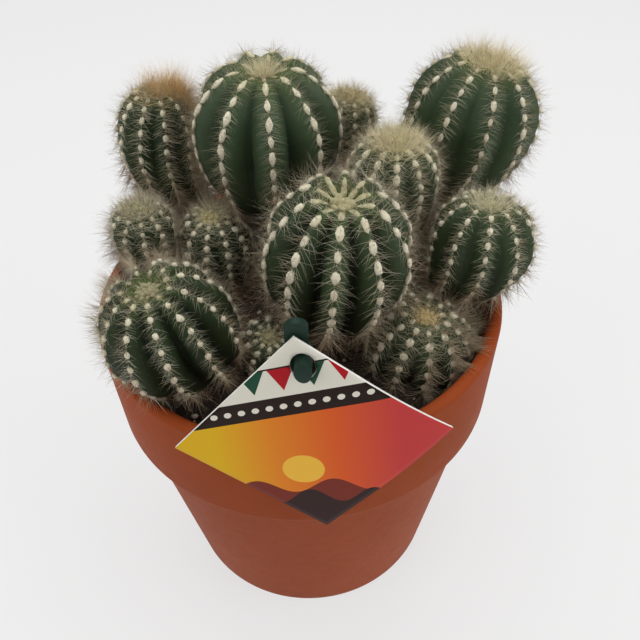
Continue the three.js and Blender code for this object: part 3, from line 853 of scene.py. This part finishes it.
def addAreoleSpines(head, curved, straight, chance):
    draw = chance.uniform
    flank = Vector(head.flank)

    def scatter(spans):
        # a random step across the rib and down it
        return across * draw(*spans[0]) + down * draw(*spans[1])

    for reach, turn, size in head.areoles():
        place, out, down, across = head.seat(reach, turn)
        below = head.below(reach)
        along = down * head.step * size  # one areole's stretch of the rib
        kind = spines["dead"]
        for _ in range(round(kind["share"] * head.dead * min(max(3 * below - 0.8, 0), 1))):
            direction = (out + scatter(kind["sway"])).normalized()
            addNeedle(straight, place, direction, kind["size"] * draw(*kind["length"]),
                      down * draw(*kind["curl"]), kind["radius"], chance.triangular(*kind["tint"]))
        kind = spines["flank"]
        for _ in range(round(kind["most"] * max(0, out.dot(flank)) ** 2)):
            direction = (out + flank * kind["lean"] + scatter(kind["sway"])).normalized()
            root = place + along * draw(*kind["root"])
            addNeedle(straight, root, direction, head.spine * draw(*kind["length"]),
                      down * draw(*kind["curl"]), kind["radius"], draw(*kind["tint"]))
        if below > form["lastWool"]:
            continue
        young = max(0, 1 - reach / (spines["youngSteps"] * min(head.tuftReach)))
        first = spines["firstLength"]
        length = head.spine * (first + (1 - first) * size) * (1 + spines["lowLonger"] * below)
        kind = spines["fuzz"]
        for _ in range(kind["count"]):
            direction = (out + scatter(kind["sway"])).normalized()
            root = place + across * draw(*kind["root"][0]) * head.pad[0] * size \
                + down * draw(*kind["root"][1]) * head.pad[1] * size
            addNeedle(straight, root, direction, draw(*kind["length"]), Vector(), kind["radius"],
                      kind["tint"])
        kind = spines["radial"]
        for index in range(head.radial + chance.randint(*kind["count"])):
            hand = 1 if index % 2 else -1
            flat = (across * hand + down * chance.gauss(kind["slant"], head.slant)).normalized()
            direction = (flat + out * draw(*kind["out"])).normalized()
            curl = out * draw(*kind["curlOut"]) + down * draw(*kind["curl"])
            tint = kind["lowTint"] * below + kind["bloomTint"] * head.bloom + draw(*kind["tint"])
            if chance.random() < spines["youngShare"] * young:
                tint = head.tuftTint + draw(*spines["youngTint"])
            root = place + along * draw(*kind["root"]) + out * kind["rise"]
            addNeedle(curved, root, direction, length * draw(*kind["length"]), curl, head.comb, tint)
        kind = spines["central"]
        for _ in range(head.central):
            direction = (out + scatter(kind["sway"])).normalized()
            curl = down * draw(*kind["curl"])
            tint = kind["lowTint"] * below + draw(*kind["tint"])
            root = place + along * draw(*kind["root"]) + out * kind["rise"]
            addNeedle(straight, root, direction, length * draw(*kind["length"]), curl,
                      kind["radius"], tint)


def addTuft(head, straight, chance):
    draw = chance.uniform
    kind = spines["tuft"]
    for index in range(head.tuft):
        turn = chance.random() * fullTurn
        share = chance.random() ** kind["gather"]
        away = Vector((math.cos(turn), math.sin(turn), 0)) * share
        root = away * Vector((*head.tuftReach, 0)) + Vector((*head.shift, 0))
        place, _, down, _ = head.seat(max(root.length, kind["nearest"]), math.atan2(root.y, root.x))
        splay = kind["splay"] * away * draw(*kind["splayMore"])
        sway = Vector((chance.gauss(0, kind["loose"]), chance.gauss(0, kind["loose"]), 0))
        direction = (head.up * kind["upright"] + sway + splay).normalized()
        longer = kind["longer"] * chance.random() ** kind["longRarity"]
        length = head.tuftLength * (kind["shortest"] + longer) * (1 - kind["edgeShorter"] * share)
        curl = down * draw(*kind["curl"])
        tint = kind["darkTint"]
        if index % kind["darkEvery"]:
            tint = head.tuftTint + draw(*kind["tint"])
        addNeedle(straight, place, direction, length, curl, kind["radius"], tint)


def makeSpines(head, horn, curvedMesh, straightMesh, chance):
    curved = []
    straight = []
    addAreoleSpines(head, curved, straight, chance)
    addTuft(head, straight, chance)
    bm = bmesh.new()
    tintLayer = bm.verts.layers.float.new("tint")
    layNeedles(bm, curvedMesh, curved, tintLayer)
    layNeedles(bm, straightMesh, straight, tintLayer)
    piece = finishPiece(bm, head.pieceName("Spines"), [horn], smooth=False, recalculate=False)
    givePiece(piece, [head.name])
    return len(curved) + len(straight)


def makeHeads():
    flesh = makeFlesh()
    wool = makeWool()
    horn = makeSpineHorn()
    padMesh = templateMesh("pad", buildPad)
    curvedMesh = templateMesh("curvedNeedle", buildCurved)
    straightMesh = templateMesh("straightNeedle", buildStraight)
    total = 0
    for index, (name, plan) in enumerate(heads.items()):
        head = Head(name, plan)
        chance = random.Random(100 + index)
        makeBody(head, flesh)
        makePads(head, wool, padMesh, chance)
        total += makeSpines(head, horn, curvedMesh, straightMesh, chance)
    print("heads made, with", total, "spines")


makeHeads()

# The label, a square card that stands on its corner, its made-up print and its stake
card = dict(
    side=50.8, thickness=0.7, centre=(1, -67, 126.1), yaw=-5.5, tilt=3.5, roll=5.3,
    bendStart=14, bend=0.006, hole=(1.1, 26.8, 0), holeRadius=3.1, holeStretch=1.35,
    holeSides=40, punchDepth=10, segments=40, edge=((0.3, (226, 224, 216)), (0.7, (240, 238, 232))),
)
artwork = dict(
    slope=0.17, bandFoot=11.3, bandTop=18.1, dotStep=3.6, dotRadius=0.95,
    cordLevel=27.6, cord=0.25, pennantWidth=7.4, pennantDrop=8.2, pennantShift=0.1,
    pennantSharpness=0.92, pennantFirst=(30, 74, 54), pennantSecond=(176, 20, 32),
    cream=(226, 222, 208), dark=(38, 24, 18), sun=(-3.5, -10.5), sunRadius=5.6,
    sunTint=(240, 186, 66),
    fade=((-0.05, (222, 176, 26)), (0.3, (226, 132, 34)), (0.62, (220, 92, 36)), (0.95, (196, 62, 62))),
    hills=((-17.5, 2.6, 0.3, 0.4, (120, 46, 32)), (-22, 2.8, 0.36, 2.6, (52, 32, 30))),
)
stake = dict(
    width=5.6, thickness=1.8, top=165.5, foot=74, point=14, pointShare=0.12, lean=6.5,
    rimY=-57.4, x=-1.4, headRound=0.499, headSteps=10,
    pegWidth=4.2, pegHeight=6, pegProud=2.5, pegTail=6, pegSides=32,
    edgeRound=0.3, edgeSteps=3, edgeAngle=50,
    plastic=((0.3, (14, 38, 28)), (0.7, (22, 50, 38))),
)


def cardPlace():
    return (Matrix.Translation(Vector(card["centre"]) * mm)
            @ Matrix.Rotation(card["yaw"] * degree, 4, "Z")
            @ Matrix.Rotation((90 - card["tilt"]) * degree, 4, "X")
            @ Matrix.Rotation(card["roll"] * degree, 4, "Z"))


def addInside(tree, value, low, high):
    # 1 where a value lies between two others, else 0
    over = addMath(tree, "GREATER_THAN", value, low)
    return addMath(tree, "MULTIPLY", over, addMath(tree, "LESS_THAN", value, high))


def addSpot(tree, x, y, radius):
    # 1 inside a round spot about 0, else 0
    away = addMath(tree, "ADD", addMath(tree, "MULTIPLY", x, x), addMath(tree, "MULTIPLY", y, y))
    return addMath(tree, "LESS_THAN", away, radius ** 2)


def addPennants(tree, across, level, under):
    # a string of hanging pennants in two colours, laid over the picture so far
    calc = partial(addMath, tree)
    top = artwork["cordLevel"]
    cell = calc("ADD", calc("DIVIDE", across, artwork["pennantWidth"]), artwork["pennantShift"])
    edge = calc("MULTIPLY", calc("ABSOLUTE", calc("SUBTRACT", calc("FRACT", cell), 0.5)), 2)
    hang = calc("DIVIDE", calc("SUBTRACT", top, level), artwork["pennantDrop"])
    within = calc("LESS_THAN", calc("ADD", edge, hang), artwork["pennantSharpness"])
    inside = calc("MULTIPLY", within, calc("GREATER_THAN", hang, 0))
    turn = calc("FLOORED_MODULO", calc("FLOOR", cell), 2)
    tint = addMix(tree, turn, artwork["pennantFirst"], artwork["pennantSecond"])
    cord = addInside(tree, level, top - artwork["cord"], top + artwork["cord"])
    return addMix(tree, cord, addMix(tree, inside, under, tint), artwork["dark"])


def makePrint():
    # pennants on cream, a dark band with dots, and low hills before a setting sun
    material, tree = newMaterial("labelPrint")
    calc = partial(addMath, tree)
    where = addNode(tree, "ShaderNodeUVMap", uv_map="print").outputs["UV"]
    parts = addNode(tree, "ShaderNodeSeparateXYZ", {"Vector": where}).outputs
    across = calc("MULTIPLY", parts["X"], card["side"])
    up = calc("MULTIPLY", parts["Y"], card["side"])
    level = calc("SUBTRACT", up, calc("MULTIPLY", across, artwork["slope"]))
    picture = addRamp(tree, calc("ADD", parts["X"], 0.5), *artwork["fade"])
    sun = addSpot(tree, calc("SUBTRACT", across, artwork["sun"][0]), calc("SUBTRACT", up, artwork["sun"][1]),
                  artwork["sunRadius"])
    picture = addMix(tree, sun, picture, artwork["sunTint"])
    for height, swell, wave, phase, tint in artwork["hills"]:
        roll = calc("SINE", calc("ADD", calc("MULTIPLY", across, wave), phase))
        below = calc("LESS_THAN", up, calc("ADD", calc("MULTIPLY", roll, swell), height))
        picture = addMix(tree, below, picture, tint)
    picture = addMix(tree, calc("GREATER_THAN", level, artwork["bandTop"]), picture, artwork["cream"])
    picture = addPennants(tree, across, level, picture)
    band = addInside(tree, level, artwork["bandFoot"], artwork["bandTop"])
    picture = addMix(tree, band, picture, artwork["dark"])
    part = calc("SUBTRACT", calc("FRACT", calc("DIVIDE", across, artwork["dotStep"])), 0.5)
    middle = 0.5 * (artwork["bandFoot"] + artwork["bandTop"])
    dot = addSpot(tree, calc("MULTIPLY", part, artwork["dotStep"]), calc("SUBTRACT", level, middle),
                  artwork["dotRadius"])
    return finishMaterial(material, {
        "Base Color": addMix(tree, dot, picture, artwork["cream"]),
        "Roughness": 0.4,
        "Specular IOR Level": 0.1,
    })


def makeCardEdge():
    material, tree = newMaterial("labelEdge")
    return finishMaterial(material, {
        "Base Color": addRamp(tree, addNoise(tree, 900, 3), *card["edge"]),
        "Roughness": 0.6,
    })


def makeCard():
    bm = bmesh.new()
    layer = bm.loops.layers.uv.new("print")
    bmesh.ops.create_grid(bm, x_segments=card["segments"], y_segments=card["segments"],
                          size=card["side"] / 2 * mm, calc_uvs=True)
    bmesh.ops.rotate(bm, verts=bm.verts, cent=(0, 0, 0), matrix=Matrix.Rotation(45 * degree, 3, "Z"))
    for face in bm.faces:
        for loop in face.loops:
            loop[layer].uv = loop.vert.co.xy / (card["side"] * mm)
    for corner in bm.verts:
        beyond = max(0, corner.co.x / mm - card["bendStart"])
        corner.co.z -= card["bend"] * beyond ** 2 * mm
    edge = makeCardEdge()
    piece = finishPiece(bm, "labelCard", [makePrint(), edge], recalculate=False)
    wall = piece.modifiers.new("wall", "SOLIDIFY")
    wall.thickness = card["thickness"] * mm
    wall.offset = -1
    wall.material_offset = 1
    wall.material_offset_rim = 1
    applyModifiers(piece)
    place = Matrix.Translation(Vector(card["hole"]) * mm) @ Matrix.Diagonal((1, card["holeStretch"], 1, 1))
    carve(piece, [makeRod("punch", card["holeRadius"], card["punchDepth"], card["holeSides"], place, [edge])])
    piece.data.transform(cardPlace())
    givePiece(piece, ["label_card"])


def makeStakePlastic():
    material, tree = newMaterial("stakePlastic")
    broad = addNoise(tree, 60)
    return finishMaterial(material, {
        "Base Color": addRamp(tree, broad, *stake["plastic"]),
        "Normal": addBump(tree, addNoise(tree, 900), 0.15, 0.1 * mm),
        "Roughness": addRamp(tree, broad, (0.3, 0.4), (0.7, 0.55)),
        "Specular IOR Level": 0.2,
    })


def makeStake():
    # a strip with a round head and a pointed foot, and a peg through the card's hole
    height = stake["top"] - stake["foot"]
    level = stake["foot"] + height / 2 - pot["height"]
    bm = bmesh.new()
    size = Matrix.Diagonal(Vector((stake["width"], stake["thickness"], height, 1 / mm)) * mm)
    bmesh.ops.create_cube(bm, size=1, matrix=Matrix.Translation((0, 0, level * mm)) @ size)
    top = max(corner.co.z for corner in bm.verts)
    shoulders = [part for part in bm.edges
                 if all(abs(corner.co.z - top) < weld for corner in part.verts)
                 and abs(part.verts[0].co.x - part.verts[1].co.x) < weld]
    bmesh.ops.bevel(bm, geom=shoulders, offset=stake["headRound"] * stake["width"] * mm, affect="EDGES",
                    segments=stake["headSteps"], profile=0.5, material=-1)
    pointTop = (stake["foot"] + stake["point"] - pot["height"]) * mm
    bmesh.ops.bisect_plane(bm, geom=bm.verts[:] + bm.edges[:] + bm.faces[:], dist=1e-7,
                           plane_co=(0, 0, pointTop), plane_no=(0, 0, 1))
    for corner in bm.verts:
        if corner.co.z < pointTop - weld:
            corner.co.x *= stake["pointShare"]
    place = Matrix.Translation(Vector((stake["x"], stake["rimY"], pot["height"])) * mm)
    bmesh.ops.transform(bm, matrix=place @ Matrix.Rotation(stake["lean"] * degree, 4, "X"), verts=bm.verts)
    plastic = makeStakePlastic()
    piece = finishPiece(bm, "labelStake", [plastic])
    depth = stake["pegProud"] + stake["pegTail"]
    peg = Vector(card["hole"]) + Vector((0, 0, stake["pegProud"] - depth / 2))
    size = Matrix.Diagonal((stake["pegWidth"], stake["pegHeight"], 1, 1))
    place = cardPlace() @ Matrix.Translation(peg * mm) @ size
    carve(piece, [makeRod("peg", 0.5, depth, stake["pegSides"], place, [plastic])], "UNION")
    soften = piece.modifiers.new("soften", "BEVEL")
    soften.width = stake["edgeRound"] * mm
    soften.segments = stake["edgeSteps"]
    soften.limit_method = "ANGLE"
    soften.angle_limit = stake["edgeAngle"] * degree
    applyModifiers(piece)
    givePiece(piece, ["label_stake"])


makeCard()
makeStake()
print("label made")

# The studio: a pale floor, broad soft lights and the camera at the photograph's viewing angle
studio = dict(floorSize=6, floorDrop=0.1, floor=(238, 238, 238), floorGrey=0.22, glow=0.76, sky=0.3)
lights = {
    "keyLeft": dict(place=(-0.75, -0.45, 0.7), size=0.7, power=3),
    "fillRight": dict(place=(0.8, -0.25, 0.55), size=0.7, power=3.5),
    "above": dict(place=(0, 0.25, 1), size=0.9, power=6),
}
lightsAim = (0, 0, 0.1)
camera = dict(
    back=182.38, height=279.79, sensor=36, focal=743.2, frame=640, nearest=0.01,
    pitch=0.7639, yaw=0.0341, roll=0.0295,  # in radians; focal and frame are in pixels
)


def makeFloor():
    material, _ = newMaterial("paleFloor")
    finishMaterial(material, {
        "Base Color": studio["floorGrey"],
        "Emission Color": studio["floor"],
        "Emission Strength": studio["glow"],
        "Roughness": 1,
        "Specular IOR Level": 0,
    })
    bm = bmesh.new()
    bmesh.ops.create_grid(bm, x_segments=1, y_segments=1, size=studio["floorSize"] / 2)
    bmesh.ops.translate(bm, verts=bm.verts, vec=(0, 0, -studio["floorDrop"] * mm))
    floor = finishPiece(bm, "floor", [material], recalculate=False)


def makeLights():
    world = bpy.data.worlds.new("studio")
    bpy.context.scene.world = world
    world.use_nodes = True
    background = world.node_tree.nodes["Background"]
    background.inputs["Color"].default_value = shade(1)
    background.inputs["Strength"].default_value = studio["sky"]
    for name, plan in lights.items():
        lamp = bpy.data.lights.new(name, "AREA")
        lamp.size = plan["size"]
        lamp.energy = plan["power"]
        light = bpy.data.objects.new(name, lamp)
        light.location = plan["place"]
        aim = Vector(lightsAim) - Vector(plan["place"])
        light.rotation_euler = aim.to_track_quat("-Z", "Y").to_euler()
        bpy.context.collection.objects.link(light)


def makeCamera():
    lens = bpy.data.cameras.new("camera")
    lens.sensor_width = camera["sensor"]
    lens.lens = camera["sensor"] * camera["focal"] / camera["frame"]
    lens.clip_start = camera["nearest"]
    seer = bpy.data.objects.new("camera", lens)
    seer.matrix_world = (Matrix.Translation(Vector((0, -camera["back"], camera["height"])) * mm)
                         @ Matrix.Rotation(-camera["yaw"], 4, "Z")
                         @ Matrix.Rotation(math.pi / 2 - camera["pitch"], 4, "X")
                         @ Matrix.Rotation(-camera["roll"], 4, "Z"))
    bpy.context.collection.objects.link(seer)
    bpy.context.scene.camera = seer


makeFloor()
makeLights()
makeCamera()
bpy.context.scene.view_settings.view_transform = "Standard"
print("studio made")
